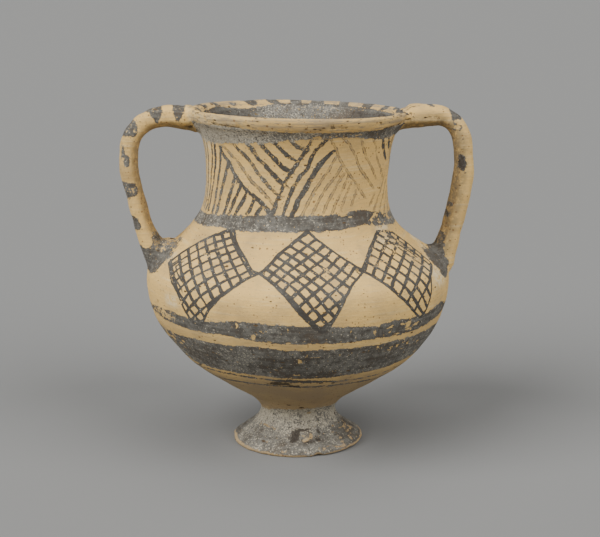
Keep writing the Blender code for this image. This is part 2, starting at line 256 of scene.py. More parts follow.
# Dark patches on the handles and at their roots, outlined as seen from the front: x, z in mm.
HANDLE_PATCHES = (
    ((-55.9, -49.8, -50.2, -51.4, -53.3, -54.2, -54.8), (156, 156, 152.2, 150.4, 147.7, 149.3, 151.7)),
    ((-68.4, -65.2, -60.8, -59.8, -60.8, -62, -63.7, -64.7, -66.3), (153.2, 156, 156, 152.3, 149.8, 147.5, 147.8,
     150.6, 151.5)),
    ((-74.6, -71.3, -70.7, -71.3, -73.4, -79.5, -79.5), (149.8, 147.3, 144.4, 141, 141.7, 141, 144.5)),
    ((-80, -77.1, -72, -71.4, -71, -71.9, -74.1, -76, -80), (121.6, 121.4, 120.9, 118.8, 117.3, 115.4, 114.5, 114,
     114.6)),
    ((-77.5, -74.3, -72.6, -71.5, -70.6, -69.9, -70.7, -72.5, -77.5), (107.6, 106.4, 106.2, 104.9, 103, 101.5, 100.1,
     99.9, 99.5)),
    ((-69, -72, -72.5, -67.4, -65.8, -63.6, -61.9, -60, -58, -56.4, -55.2, -56.7, -58.5, -61.2, -63, -65.1, -66.9),
     (92.1, 93.5, 81, 81.6, 82, 84.2, 86.1, 87.6, 89.4, 90.8, 92.3, 92.3, 91.7, 90.8, 91.7, 91.2, 92)),
    ((54.6, 58.7, 62.9, 64.1, 66.2, 65.6, 66.1, 67.9, 67.3, 65.2, 63.1, 61, 59.5, 57.4, 56.2), (91.9, 90, 91.6, 91.5,
     92.6, 88.9, 85.9, 83.7, 81.3, 80.3, 80.3, 82.6, 85, 87.2, 89)),
    ((67.3, 69.6, 74.5, 72.9, 70.2, 68.8, 68.1), (154.8, 155.5, 150, 147.9, 147.5, 146.9, 149.2)),
    ((72.2, 73.2, 74.8, 75.4, 74.9, 73.4, 72.3, 71.9, 71.9), (131.7, 132.1, 130.5, 128, 125.3, 124.5, 125.4, 128,
     130)),
    ((67.1, 67.9, 68.3, 67.8, 67.1), (106.2, 106.5, 105, 103.5, 103.8)),
    ((56.6, 60.9, 60.5, 58.3), (156, 156, 153.2, 153.6)),
    ((-77.9, -77, -76.6, -76.9, -78.3), (137.4, 137.3, 135.1, 132.2, 131.9)),
    ((-76.7, -75.1, -74.2, -74.4, -75.9, -77.2), (133.5, 133.4, 130.8, 128.6, 128.2, 129.5)),
    ((47.5, 49.1, 50.3, 51.6, 51.1, 49.7, 48.7, 47.3), (152.3, 151.7, 150.4, 149, 148.8, 150, 151, 151.5)),
)
# Where the paint is thin and speckled beside the handles' roots, outlined in the same way.
THIN_PATCHES = (
    ((-66.9, -65.1, -61.2, -58.5, -54.2, -52.4, -51, -54, -56.4, -59.4, -62.4, -64, -65.3, -65), (92, 91.2, 90, 91,
     92.8, 94.8, 96.1, 95.4, 95.4, 95.5, 97, 98.8, 98.5, 94.6)),
    ((62.4, 66.3, 66.6, 64.3, 62.2), (91, 92, 96.5, 97, 94)),
)
# Marks on the front worn to a mere ring or dot, as (x, z, half width, inner half width) in mm.
HANDLE_RINGS = (
    (71, 144.3, 1.9, 1.1), (73.1, 139.1, 0.55, 0), (74.4, 124.3, 0.75, 0), (71.1, 116.1, 0.4, 0), (68.9, 109, 0.9,
    0.5),
)
# Creases where the handles were pressed onto the lip, as (x, y, z) points in mm.
CREASES = (
    ((9.4, -46.9, 148.8), (12.5, -46.1, 148.8), (16.8, -44.7, 148.6)),
    ((4.8, -47.1, 147.9), (6, -46.6, 147.5)),
    ((10.3, -47, 149.8), (11.2, -46.7, 149.5)),
    ((31.7, -36.3, 150), (32.5, -35.5, 149.8)),
    ((43.3, -18.3, 152.5), (47.5, -3.2, 153), (50, -3, 153.5), (53.5, -3.3, 153.8)),
    ((41.6, -21.6, 152.5), (45.9, -0.7, 152.8), (48.5, 0.6, 153.6), (51.1, -0.7, 154.1)),
    ((46.7, -11.4, 152.2), (49.4, -6, 151.4), (50, -6.3, 150.5)),
    ((41.9, -22.5, 152.4), (44.2, -19.4, 151.8)),
    ((34.4, -31.5, 147.1), (38.9, -26.6, 147.6), (43.1, -20.1, 148.2), (45.4, -14.9, 148.8), (49.4, -6.6, 148.3)),
    ((57.5, -6.4, 149.2), (61.1, -6, 149.3), (62.7, -5.8, 148.6)),
    ((-45.9, -15, 151.5), (-44.2, -18.3, 152.3)),
    ((-49.7, -5.2, 146.3), (-47.1, -5, 146.1), (-45.2, -12.1, 147.2)),
    ((-39.2, -27.2, 148.6), (-34.7, -32.4, 148.2), (-27.8, -38.4, 148)),
)
# Brush marks on top of the rim and down its inner side, outlined: degrees round from the front, mm in.
RIM_MARKS = (
    ((262.5, 259, 259, 260.5, 264, 263.5, 265.5, 266), (2.6, 3.6, 5.2, 6.4, 6.1, 5.1, 3.8, 2.9)),
    ((250, 246, 246, 243, 243, 244.5, 248, 249.5, 249, 251.5, 252.5), (0.3, 1, 3.4, 3.2, 4.3, 5.1, 5.5, 4.7, 3.7, 2.2,
     0.7)),
    ((238, 232, 231.2, 230.8, 231.3, 234.2, 234.7, 234.5, 237.5), (0.2, 0.2, 2.4, 4.1, 5.6, 5.5, 3.7, 1.6, 1.2)),
    ((223.5, 219.2, 219.6, 223), (0.2, 0.2, 1.9, 1.8)),
    ((220.4, 218.5, 217.5, 216, 214.6, 216.6, 219, 220.4), (3.4, 3.5, 4.3, 3.6, 4.1, 5.6, 6, 4.9)),
    ((209.5, 202.5, 201, 200.6, 201.8, 204.5, 207.2, 208.6), (0.2, 0.2, 3, 4.9, 6, 6.3, 5.4, 3.8)),
    ((194.5, 188.5, 186.5, 186, 188, 190, 192.5, 194), (0.2, 0.2, 4, 6, 6.6, 5.5, 4.8, 3.4)),
    ((180, 173.5, 172.4, 179.3), (0.2, 0.2, 5.4, 5.4)),
    ((167, 160, 159, 167.5), (0.2, 0.2, 5, 5)),
    ((150.6, 144.2, 142.8, 148.8), (0.2, 0.2, 5.4, 5.4)),
    ((134.5, 126, 124.5, 132.4), (0.2, 0.2, 5.4, 5.4)),
    ((118.5, 115.2, 115, 118, 112, 108.5, 111, 114.5), (4.2, 4.8, 3.2, 0.2, 0.2, 4.4, 5.6, 5.8)),
    ((103.5, 105, 99, 88, 91.5, 98.5, 99.5), (3.4, 0.2, 0.2, 4.4, 5, 2.8, 4.2)),
    ((89, 94.5, 96.6, 95, 91.5, 86), (4.9, 2.3, 0.2, 0.2, 2.3, 4.8)),
)
# Where the paint inside the mouth begins: degrees round from the front, mm in.
MOUTH_PAINT = (
    (0, 30, 60, 90, 108, 118, 124, 133, 142, 148, 158, 167, 179, 186, 192, 199, 209, 216, 223, 234, 242, 250, 262, 280,
     305, 330, 360),
    (6, 5.4, 6.4, 6.2, 6.2, 6.2, 5.7, 5.6, 5.2, 5.2, 4.6, 4.7, 5.1, 5.1, 5.9, 6.8, 7.7, 7.4, 6.5, 5.5, 5.9, 6.4, 6.6,
     6.2, 7, 6.2, 6),
)
# How much lime crust covers the paint inside: degrees round from the front, amounts.
MOUTH_CRUST = (
    (0, 60, 98, 120, 132, 142, 170, 200, 212, 224, 232, 262, 300, 360),
    (0.6, 0.3, 0, 0, 0.1, 0.5, 0.75, 0.6, 0.2, 0, 0, 0, 0.3, 0.6),
)

# Places where paint has come off to the buff clay, as (degrees, mm down, half width in degrees, half height in mm).
CHIPS = (
    (-27, 95.4, 0.8, 1.4), (-18, 97.4, 0.5, 1), (-21, 100.2, 0.9, 1.5), (-8.5, 96.3, 0.4, 1.2), (24, 99.4, 0.7, 1.2),
    (31, 98.4, 1, 0.9), (40, 98.8, 1.5, 1.9), (42, 101.6, 0.6, 0.9), (14, 97.8, 0.5, 1.3), (-4.5, 101.6, 3.4, 0.35),
    (-31, 107.8, 0.9, 0.6), (-30.5, 115.6, 0.9, 0.7), (-4.6, 112.4, 0.9, 1.6), (2.5, 110.4, 4.5, 0.35), (37, 109.2, 1,
    0.9), (30, 107.8, 0.6, 0.8), (34, 107.8, 0.5, 0.6), (-14.5, 119.2, 0.8, 0.9), (-7, 122.2, 3.8, 0.4), (3, 123.6,
    1.5, 0.4), (-55, 124.4, 1.8, 1.1), (11, 109.8, 0.4, 0.9), (29, 114.4, 0.7, 0.7), (52, 110.8, 1, 0.6), (-67, 120.6,
    1.6, 1), (-1.5, 109.5, 0.5, 1.4), (6, 115, 0.4, 0.5), (-12, 117, 0.4, 0.8), (-46, 178.6, 15, 0.45), (-63, 179.4, 6,
    0.4), (11, 170.4, 4.2, 0.8), (24, 188.6, 6.5, 0.45), (43, 188.5, 3, 0.8), (57, 188.4, 2.6, 1.4), (65, 184.8, 3,
    0.8), (66, 179.1, 6.5, 0.5), (48, 179.1, 3.5, 0.5), (46, 186.6, 2.2, 0.6), (26, 190.6, 2.6, 0.5), (-16, 190.1, 0.8,
    0.7), (-10.5, 176.3, 1.4, 0.5), (13, 173.4, 1.6, 0.4), (10.2, 181.6, 2.3, 2.4), (5, 180.6, 1, 0.8), (1, 181.6, 1.3,
    1), (-38, 186.4, 1.2, 0.5), (60, 45.6, 2.4, 0.9), (53, 47.6, 1.4, 0.7), (57, 43.4, 1.8, 0.7), (66, 48, 2.6, 0.8),
    (45, 47.2, 2, 0.4), (28, 46.9, 0.8, 0.3), (22, 43.2, 2.6, 0.35), (14, 43, 1.2, 0.4),
)
# Old brown stains on the front, as (degrees, mm down, half sizes in degrees and mm, amount).
STAINS = (
    (-8.6, 181.7, 6.8, 4.4, 1), (22, 179.8, 2.8, 1.6, 1), (17.5, 184, 3.4, 1.5, 0.9), (3, 178.4, 11, 1, 0.8), (7, 185,
    9, 1, 0.8), (-15, 130.2, 7, 2.2, 1), (-8, 132.4, 3.6, 1.6, 0.9), (-84, 66, 5, 5, 0.35),
)
# Places rubbed or scuffed pale on the front.
RUBBED = (
    (62, 82, 7.5, 5.5, 0.8), (83, 64.5, 4, 3, 0.8), (77, 69.5, 4.5, 3, 0.8), (69, 75, 4.5, 3, 0.7), (-85, 79, 4, 2.5,
    0.9), (-57, 90, 5, 3, 0.6), (54, 51.6, 8, 1.8, 0.8), (-55, 119, 5, 2.5, 0.5), (-60, 73, 3, 3, 0.3), (3, 182.6, 3.6,
    3, 0.9), (-72, 70, 3, 4, 0.5), (48, 58, 9, 4.5, 0.45), (-60, 3, 34, 4, 0.5), (-76, 14, 14, 7, 0.6), (-84, 30, 10,
    16, 0.45),
)
# Places scuffed so that many small flakes of paint have gone on the front.
SCUFFED = (
    (62, 184, 24, 6.5, 0.66), (28, 189.4, 18, 1.9, 0.8), (50, 179, 14, 1.8, 0.8), (4, 182.6, 6.5, 3.4, 1), (-50, 178.8,
    18, 1.1, 0.9), (0, 190.2, 60, 1.2, 0.3), (9, 171, 8, 2.2, 0.6), (-72, 98.8, 16, 3.2, 0.8), (-70, 109.5, 16, 5,
    0.8), (-76, 119, 12, 6, 0.6), (36, 109, 14, 3.5, 0.4), (58, 47.2, 16, 4.6, 0.8), (24, 42.9, 8, 1.4, 0.7), (37,
    99.4, 12, 3.4, 0.55), (0, 124.4, 30, 1.2, 0.45), (-4, 102.4, 14, 1, 0.6), (64, 120, 12, 4, 0.5), (-56, 92, 8, 5,
    0.5), (56, 56, 12, 6, 0.5), (14, 9.6, 24, 2.2, 0.5),
)
# Places where the painted lines are worn away on the front.
WORN = (
    (54.5, 52.3, 6.5, 2.2, 0.6), (49, 62, 13, 6.5, 0.34), (-64, 84, 6, 7, 0.42), (-56, 91, 5, 4.5, 0.4), (4, 11.8, 6,
    3.4, 0.36), (-48, 62, 6, 5, 0.24), (22, 58, 4, 3, 0.26), (-66, 97, 12, 3.5, 0.46), (36, 68, 6, 5, 0.26), (4, 68, 8,
    5, 0.2), (-88, 95, 12, 10, 0.3), (57, 72, 5, 5, 0.3),
)
# Small losses along the edges and a dent beside the right handle, as
# (degrees round from the front, radius, height, size, depth) in mm.
DENTS = (
    (13, 30, 0.4, 3.2, 1), (-34, 30, 0.6, 2.4, 0.4), (48, 30, 1, 2.6, 0.5), (150, 30, 0.6, 3, 0.6), (228, 30, 0.6, 3.4,
    0.7), (-52, 48.4, 152.2, 3, 0.4), (29, 48.4, 152.2, 2.6, 0.35), (63, 48.4, 151.6, 2.8, 0.45), (133, 48.4, 152.2, 3,
    0.5), (208, 48.4, 152.2, 3.4, 0.45), (100, 55, 94, 13, 2.1),
)
# The chart's zero lies this far above the first point of the outer side, in mm.
LIP_TOP = 0.6
# The strokes' sets that go on as hatching in the lozenges, as (the lozenges' set, its weight).
HATCHING = {"slanting": ("falling", 1.04), "counter": ("rising", 0.92)}
# A hatching stroke in a lozenge is this much narrower than one of the same weight on the neck.
HATCH_FINENESS = 1.28
LOZENGE_UNIT = 25
# Where the neck's strokes end and the lozenges may begin, in mm down.
NECK_END = 48
# The radius at which the marks on the rim were measured, in mm.
RIM_RADIUS = 46
# A handle's width for its thickness.
HANDLE_FLATNESS = 1.3
# A height between the handles' upper and lower joints, in mm.
MID_HANDLE = 118
# Heights in mm: within the inside's floor, the belly's widest place, the end of the belly's inside, and where
# the mouth's lean sets in and is full.
FLOOR_LEVEL, BELLY_LEVEL, BELLY_END, LEAN_START, LEAN_END = 20, 76, 112, 114.0, 152.5
# The foot's lift dies away up to this height, and the creases are this deep, in mm.
LIFT_END, CREASE_DEPTH = 9, 0.32
# The cavity that trims the handles' ends: how much wider than the inside, and the shaft above it, in mm.
TRIM_MARGIN, SHAFT = 0.9, ((46.2, 154), (46.2, 160), (0, 160))
# Only the handles lie farther out than this above the shoulder, in mm.
BEYOND_LIP = 47.5
# The depth, in mm, that stands for no paint, and a distance beyond any on the jar.
BARE, FAR = -9.0, 1e3
CAMERA_PLACE = (-0.05695, -0.66206, 0.22974)
CAMERA_TURN = (math.radians(77.294), 0, math.radians(-5))
CAMERA_LENS, CAMERA_SENSOR = 90, 36
# The handles' section: places from the inner (-1) to the outer side (1), depths against a round section's.
HANDLE_SECTION = (
    (-1, -0.9, -0.7, -0.5, -0.42, -0.3, 0, 0.4, 0.7, 0.9, 1),
    (0.95, 0.88, 0.93, 1.1, 1.14, 1.09, 0.99, 1.04, 1.15, 1.26, 1.35),
)


def number(name, text, default, unit="NONE", **limits):
    """A number that the user can change."""
    return bpy.props.FloatProperty(name=name, description=text, default=default, unit=unit, precision=4, **limits)


def tint(name, text, default):
    """A colour that the user can change."""
    return bpy.props.FloatVectorProperty(name=name, description=text, default=default, subtype="COLOR", min=0, max=1)


class JarShape(bpy.types.PropertyGroup):
    grain: number("Mesh grain", "Edge length of the jar's surface mesh", 0.00116, "LENGTH", min=0.0005)
    handle_flatness: number("Handle width", "Width of a handle for its thickness", HANDLE_FLATNESS, min=1.0, max=2.0)
    lean_right: number("Lean right", "Slope of the mouth towards +X", 0.021)
    lean_back: number("Lean back", "Slope of the mouth towards +Y", 0.025)
    foot_lift: number("Foot lift", "Slope by which the foot's right edge rises", 0.028)
    unevenness: number("Unevenness", "Depth of the hand-made waviness", 0.00024, "LENGTH", min=0.0)
    wheel_marks: number("Wheel marks", "Depth of the turning lines", 0.00008, "LENGTH", min=0.0)


class JarFinish(bpy.types.PropertyGroup):
    clay: tint("Clay", "Buff clay", (0.77, 0.505, 0.168))
    clay_warm: tint("Warm clay", "Where the clay fired warmer", (0.62, 0.40, 0.145))
    clay_pale: tint("Pale clay", "Where the slip is rubbed pale", (0.80, 0.67, 0.42))
    # Soiled clay, and also the colour of the painted shade that darkens the body below its widest place.
    clay_soil_and_shade: tint("Soiled clay", "Where soil has greyed the clay", (0.27, 0.21, 0.14))
    paint: tint("Paint", "Thick dark paint", (0.072, 0.063, 0.051))
    paint_grey: tint("Grey paint", "Where the thick paint is dulled", (0.15, 0.141, 0.12))
    paint_thin: tint("Thin paint", "Paint where it is thin or worn", (0.17, 0.112, 0.062))
    crust: tint("Crust", "Thin lime crust over the paint", (0.24, 0.225, 0.19))
    veil: tint("Veil", "Blotches of lime in thick crust", (0.40, 0.36, 0.28))
    crumb: tint("Crumbs", "Pale crumbs of lime", (0.60, 0.53, 0.39))
    # Painted shade, with some grime, on the handles' inner sides, where the body shades them.
    handle_grime_and_shade: tint("Grime", "On the handles' inner sides", (0.235, 0.180, 0.10))
    speck: tint("Specks", "Dark specks and pits in the clay", (0.19, 0.095, 0.042))
    # Old brown stains; the same colour lays the painted shade inside the mouth and darkens the creases.
    stain_and_shade: tint("Stain", "Old brown stains", (0.040, 0.030, 0.022))
    pit: tint("Pits", "Small deep pits in the clay", (0.06, 0.035, 0.02))
    line: tint("Lines", "Where the paint of the lines is thickest", (0.030, 0.027, 0.024))


class StageLook(bpy.types.PropertyGroup):
    floor: tint("Floor", "The studio floor", (0.21, 0.21, 0.204))
    key: number("Key light", "Strength of the broad light at the upper left", 3.95, min=0.0)
    side: number("Side light", "Strength of the broad light at the front right", 2.4, min=0.0)
    top: number("Top light", "Strength of the light overhead", 0.9, min=0.0)
    softness: number("Softness", "How wide the lights are", math.radians(46), "ROTATION", min=0.0)
    air: number("Surroundings", "Strength of the even light all round", 0.10, min=0.0)


def clear_selection():
    if bpy.context.object and bpy.context.object.mode != "OBJECT":
        bpy.ops.object.mode_set(mode="OBJECT")
    bpy.ops.object.select_all(action="DESELECT")


def pick(obj):
    clear_selection()
    obj.select_set(True)
    bpy.context.view_layer.objects.active = obj


def apply_modifier(obj, kind, **settings):
    pick(obj)
    bpy.ops.object.modifier_add(type=kind)
    modifier = obj.modifiers[-1]
    for key, value in settings.items():
        setattr(modifier, key, value)
    bpy.ops.object.modifier_apply(modifier=modifier.name)


def clean_up(threshold):
    """Merges doubled points and turns the normals outward, in edit mode."""
    bpy.ops.mesh.select_all(action="SELECT")
    bpy.ops.mesh.remove_doubles(threshold=threshold)
    bpy.ops.mesh.normals_make_consistent(inside=False)


def drawn_curve(name, points):
    """A smooth curve through the points, each (x, y, z, radius), as drawn with the curve tool."""
    clear_selection()
    bpy.ops.curve.primitive_bezier_curve_add(location=(0, 0, 0))
    curve = bpy.context.object
    curve.name = name
    spline = curve.data.splines[0]
    spline.bezier_points.add(len(points) - 2)
    for knot, (x, y, z, radius) in zip(spline.bezier_points, points):
        knot.co = (x, y, z)
        knot.radius = radius
        knot.handle_left_type = knot.handle_right_type = "AUTO"
    return curve


def turned(name, section, steps):
    """A solid spun about the upright axis from a section given as (radius, height) in mm."""
    curve = drawn_curve(name, [(radius * MM, 0, height * MM, 1) for radius, height in section])
    curve.data.resolution_u = 5
    bpy.ops.object.convert(target="MESH")
    bpy.ops.object.mode_set(mode="EDIT")
    bpy.ops.mesh.select_all(action="SELECT")
    bpy.ops.mesh.spin(steps=steps, angle=math.tau, center=(0, 0, 0), axis=(0, 0, 1))
    clean_up(0.00003)
    bpy.ops.object.mode_set(mode="OBJECT")
    return bpy.context.object


def handle_across(points, side, path):
    """Where points in mm lie across a handle: the share from its inner (-1) to its outer (1) side."""
    nearest = np.full(len(points), FAR)
    across = np.zeros(len(points))
    for (r0, z0, w0), (r1, z1, w1) in zip(path, path[1:]):
        dr, dz = r1 - r0, z1 - z0
        step = math.hypot(dr, dz)
        r, z = side * points[:, 0] - r0, points[:, 2] - z0
        share = np.clip((r * dr + z * dz) / (step * step), 0, 1)
        away = np.hypot(r - share * dr, z - share * dz)
        closer = away < nearest
        nearest = np.where(closer, away, nearest)
        across = np.where(closer, 2 * (z * dr - r * dz) / step / (w0 + share * (w1 - w0)), across)
    return np.clip(across, -1, 1)


def rolled_handle(name, side, path, flatness, hollow):
    """One handle: a roll of clay bent from the neck to the shoulder and pressed to a ridged section."""
    curve = drawn_curve(name, [(side * r * MM, 0, z * MM, w / 2) for r, z, w in path])
    curve.data.bevel_depth = MM
    curve.data.bevel_resolution = 6
    curve.data.resolution_u = 8
    curve.data.use_fill_caps = True
    bpy.ops.object.convert(target="MESH")
    handle = bpy.context.object
    bpy.ops.object.mode_set(mode="EDIT")
    clean_up(0.00001)
    bpy.ops.object.mode_set(mode="OBJECT")
    points = points_of(handle)
    across = handle_across(points / MM, side, path)
    points[:, 1] *= flatness * np.interp(across, *HANDLE_SECTION)
    move_points(handle, points)
    apply_modifier(handle, "BOOLEAN", operation="DIFFERENCE", solver="EXACT", object=hollow)
    return handle


def crotch_clay():
    """The lump of clay thumbed in where the left handle meets the shoulder."""
    x, y, z, wide, deep, tall = (value * MM for value in CROTCH)
    clear_selection()
    bpy.ops.mesh.primitive_uv_sphere_add(segments=48, ring_count=24, radius=1.0, location=(x, y, z))
    bpy.ops.transform.resize(value=(wide, deep, tall))
    bpy.ops.transform.rotate(value=math.radians(32), orient_axis="Y", center_override=(x, y, z))
    bpy.ops.object.transform_apply(location=True, rotation=True, scale=True)
    return bpy.context.object


def points_of(obj):
    flat = np.empty(len(obj.data.vertices) * 3, np.float32)
    obj.data.vertices.foreach_get("co", flat)
    return flat.reshape(-1, 3).astype(np.float64)


def move_points(obj, points):
    obj.data.vertices.foreach_set("co", points.astype(np.float32).ravel())
    obj.data.update()


def store(obj, name, values):
    layer = obj.data.attributes.new(name, "FLOAT_VECTOR", "POINT")
    layer.data.foreach_set("vector", np.stack(values, -1).astype(np.float32).ravel())


def chosen(obj, which):
    """The name of a vertex group of the chosen points, in place of any that was there."""
    obj.vertex_groups.clear()
    group = obj.vertex_groups.new(name="chosen")
    group.add(np.flatnonzero(which).tolist(), 1.0, "REPLACE")
    return group.name


def outer_radius(height):
    radii, heights = np.array(OUTSIDE).T
    return np.interp(height, heights[::-1], radii[::-1])


def ease(low, high, value):
    share = np.clip((value - low) / (high - low), 0.0, 1.0)
    return share * share * (3 - 2 * share)


def along(path, u, v):
    """Length along a path of its nearest point to each place, and how far off that point is."""
    nearest = np.full(len(u), FAR)
    length = np.zeros(len(u))
    run = 0.0
    for (u0, v0), (u1, v1) in zip(path, path[1:]):
        du, dv = u1 - u0, v1 - v0
        step = math.hypot(du, dv)
        share = np.clip(((u - u0) * du + (v - v0) * dv) / (step * step), 0, 1)
        away = np.hypot(u - u0 - share * du, v - v0 - share * dv)
        closer = away < nearest
        nearest = np.where(closer, away, nearest)
        length = np.where(closer, run + share * step, length)
        run += step
    return length, nearest


def within(u, v, corners):
    """Distance inside an outline, negative outside it."""
    corners = np.array(corners, float).T
    depth = np.full(len(u), BARE)
    low, high = corners.min(0) - 3, corners.max(0) + 3
    close = (u > low[0]) & (u < high[0]) & (v > low[1]) & (v < high[1])
    x, y = u[close], v[close]
    nearest = np.full(len(x), FAR)
    inside = np.zeros(len(x), bool)
    for (x0, y0), (x1, y1) in zip(corners, np.roll(corners, -1, axis=0)):
        dx, dy = x1 - x0, y1 - y0
        share = np.clip(((x - x0) * dx + (y - y0) * dy) / (dx * dx + dy * dy), 0, 1)
        nearest = np.minimum(nearest, np.hypot(x - x0 - share * dx, y - y0 - share * dy))
        inside ^= ((y0 > y) != (y1 > y)) & (x < (x1 - x0) * (y - y0) / (y1 - y0 + 1e-9) + x0)
    depth[close] = np.where(inside, nearest, -nearest)
    return depth


def handle_distance(points):
    """Distance in mm to the nearer handle's surface, negative within it."""
    nearest = np.full(len(points), FAR)
    for side, path in ((-1, LEFT_HANDLE), (1, RIGHT_HANDLE)):
        for (r0, z0, w0), (r1, z1, w1) in zip(path, path[1:]):
            start = np.array((side * r0, 0, z0))
            run = np.array((side * r1, 0, z1)) - start
            share = np.clip((points - start) @ run / (run @ run), 0, 1)
            away = points - start - share[:, None] * run
            away[:, 1] /= HANDLE_FLATNESS
            nearest = np.minimum(nearest, np.linalg.norm(away, axis=1) - (w0 + share * (w1 - w0)) / 2)
    return nearest


def crease_distance(points):
    """Distance in mm to the nearest crease."""
    nearest = np.full(len(points), FAR)
    for line in CREASES:
        for start, end in zip(line, line[1:]):
            start, run = np.array(start), np.array(end) - np.array(start)
            for share in np.linspace(0, 1, max(2, round(np.linalg.norm(run) / 0.5))):
                away = np.linalg.norm(points - start - share * run, axis=1)
                nearest = np.minimum(nearest, away - 0.7 * away.min())
    return nearest


def stroke_layer(degrees, down, radius, strokes):
    """A number that counts across the strokes, their spacing in mm, and each one's weight."""
    columns, weights, slopes = [], [], []
    for weight, angle, place in strokes:
        angle, place = np.array((angle, place), float)
        slope = np.diff(angle) / np.diff(place)
        column = np.interp(down, place, angle)
        column += np.minimum(down - place[0], 0) * slope[0] + np.maximum(down - place[-1], 0) * slope[-1]
        columns.append(column)
        slopes.append(np.interp(down, (place[1:] + place[:-1]) / 2, slope))
        start, end = ease(place[0] - 0.7, place[0] + 0.3, down), ease(place[-1] + 0.7, place[-1] - 0.3, down)
        weights.append(weight * start * end)
    for index in range(1, len(columns)):
        columns[index] = np.maximum(columns[index], columns[index - 1] + 1.5)
    columns = [columns[0] - 5, *columns, columns[-1] + 5]
    weights = [weights[0] * 0, *weights, weights[0] * 0]
    slopes = [slopes[0], *slopes, slopes[-1]]
    count, weight = np.zeros_like(degrees), np.zeros_like(degrees)
    gap, slope = np.full_like(degrees, 5), slopes[0]
    for index, (left, right) in enumerate(zip(columns, columns[1:])):
        here = (degrees >= left) & (degrees < right)
        share = (degrees - left) / (right - left)
        far = share > 0.5
        count = np.where(here, index + share, count)
        gap = np.where(here, right - left, gap)
        weight = np.where(here, np.where(far, weights[index + 1], weights[index]), weight)
        slope = np.where(here, np.where(far, slopes[index + 1], slopes[index]), slope)
    across = np.radians(gap) * radius
    return count, across / np.hypot(1, np.radians(slope) * radius), weight


def cubic(weights, a, b):
    terms = (np.ones_like(a), a, b, a * a, a * b, b * b, a**3, a * a * b, a * b * b, b**3)
    return sum(weight * term for weight, term in zip(weights, terms))


def spots(degrees, down, wall, table):
    """Depth in mm inside the nearest of some oval spots, each (degrees, mm down, half sizes)."""
    depth = np.full_like(down, BARE)
    for angle, place, wide, tall in table:
        reach = np.hypot((degrees - angle) / wide, (down - place) / tall)
        depth = np.maximum(depth, (1 - reach) * np.minimum(wide * np.radians(wall), tall))
    return depth


def patches(degrees, down, table):
    """The strongest of some soft oval patches, each (degrees, mm down, half sizes, amount)."""
    amount = np.zeros_like(down)
    for angle, place, wide, tall, strength in table:
        reach = (((degrees - angle) / wide) ** 4 + ((down - place) / tall) ** 4) ** 0.25
        amount = np.maximum(amount, strength * ease(1.25, 0.35, reach))
    return amount


def lozenge_layers(degrees, down, wall):
    """Each set of hatching as (count, gap), the depth inside the outlines, and where those are doubled."""
    sets = {kind: (np.zeros_like(down), np.full_like(down, 5)) for kind, _ in HATCHING.values()}
    outline, doubled = np.full_like(down, BARE), np.zeros_like(down)
    path = np.array(OUTSIDE)
    lengths = LIP_TOP + np.append(0, np.cumsum(np.hypot(*np.diff(path, axis=0).T)))
    for lozenge in LOZENGES:
        angle, place = np.array(lozenge["outline"], float)
        corners = (np.radians(angle) * np.interp(place, lengths, path[:, 0]), place)
        depth = within(np.radians(degrees) * wall, down, corners)
        near = depth > -2.5
        middle, level = lozenge["middle"]
        a, b = (degrees - middle) / LOZENGE_UNIT, (down - level) / LOZENGE_UNIT
        bearing = np.degrees(np.arctan2(-b, -a)) % 360
        fineness = np.take(lozenge["fineness"], (3, 0, 1, 2, 3, 0))
        outline = np.maximum(outline, depth * np.interp(bearing, range(-45, 406, 90), fineness))
        start, end = lozenge["doubled"]
        turned_to = (bearing - start) % 360 + start
        doubled[near] = (ease(start, start + 12, turned_to) * ease(end, end - 12, turned_to))[near]
        for kind, (count, gap) in sets.items():
            value = cubic(lozenge[kind], a, b)
            east = (cubic(lozenge[kind], a + 0.01, b) - value) / (0.01 * LOZENGE_UNIT * np.radians(wall))
            south = (cubic(lozenge[kind], a, b + 0.01) - value) / (0.01 * LOZENGE_UNIT)
            count[near] = value[near]
            gap[near] = 1 / np.hypot(east, south)[near]
    return sets, outline, doubled


def store_strokes(jar, degrees, down, wall, outside, sets, outline):
    """Writes each set of strokes onto the mesh, with its hatching below the neck."""
    on_neck = down < NECK_END
    for name, strokes in STROKES.items():
        count, gap, weight = stroke_layer(degrees, down, wall, strokes)
        weight = weight * outside * on_neck
        if name in HATCHING:
            kind, heavy = HATCHING[name]
            hatch_count, hatch_gap = sets[kind]
            count = np.where(on_neck, count, hatch_count)
            gap = np.where(on_neck, gap, hatch_gap * HATCH_FINENESS)
            weight = np.where(on_neck, weight, heavy * (outline > -0.3) * outside)
        store(jar, name, (count, gap, weight))


